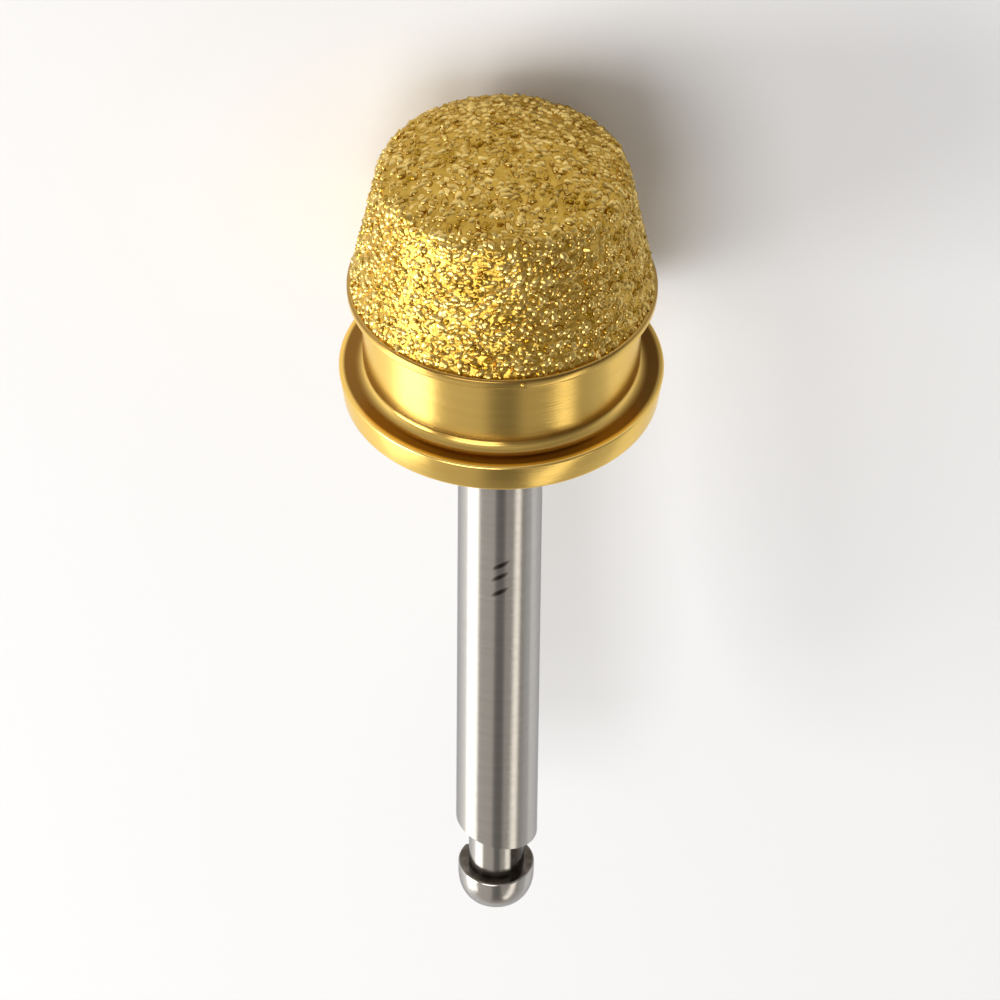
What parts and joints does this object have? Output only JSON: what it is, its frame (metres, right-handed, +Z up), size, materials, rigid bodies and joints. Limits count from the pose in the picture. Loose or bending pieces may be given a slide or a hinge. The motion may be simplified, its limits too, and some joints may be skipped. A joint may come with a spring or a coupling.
{
  "type": "dental bur",
  "caption": "Domed diamond-coated dental bur with a stop flange and a collar, on a latch-type right-angle shank with drive flat, groove and button end",
  "frame": {"origin": "on the table, under the middle of the bur's box as it lies at rest", "axes": "+Z up; the bur lies along Y, dome towards -Y and latch end towards +Y, its axis tilted 4 degrees dome down"},
  "size_m": [0.0088, 0.0276, 0.0089],
  "materials": {
    "ground_steel": "centreless-ground stainless steel, faint turning rings, bright",
    "gold_metal": "turned and polished, gold-coloured",
    "gold_diamond": "coarse diamond grit in a gold-coloured plated bond"
  },
  "bodies": {
    "root": {"shank": "ground_steel", "head": "gold_metal", "diamond_coat": "gold_diamond"}
  },
  "joints": []
}
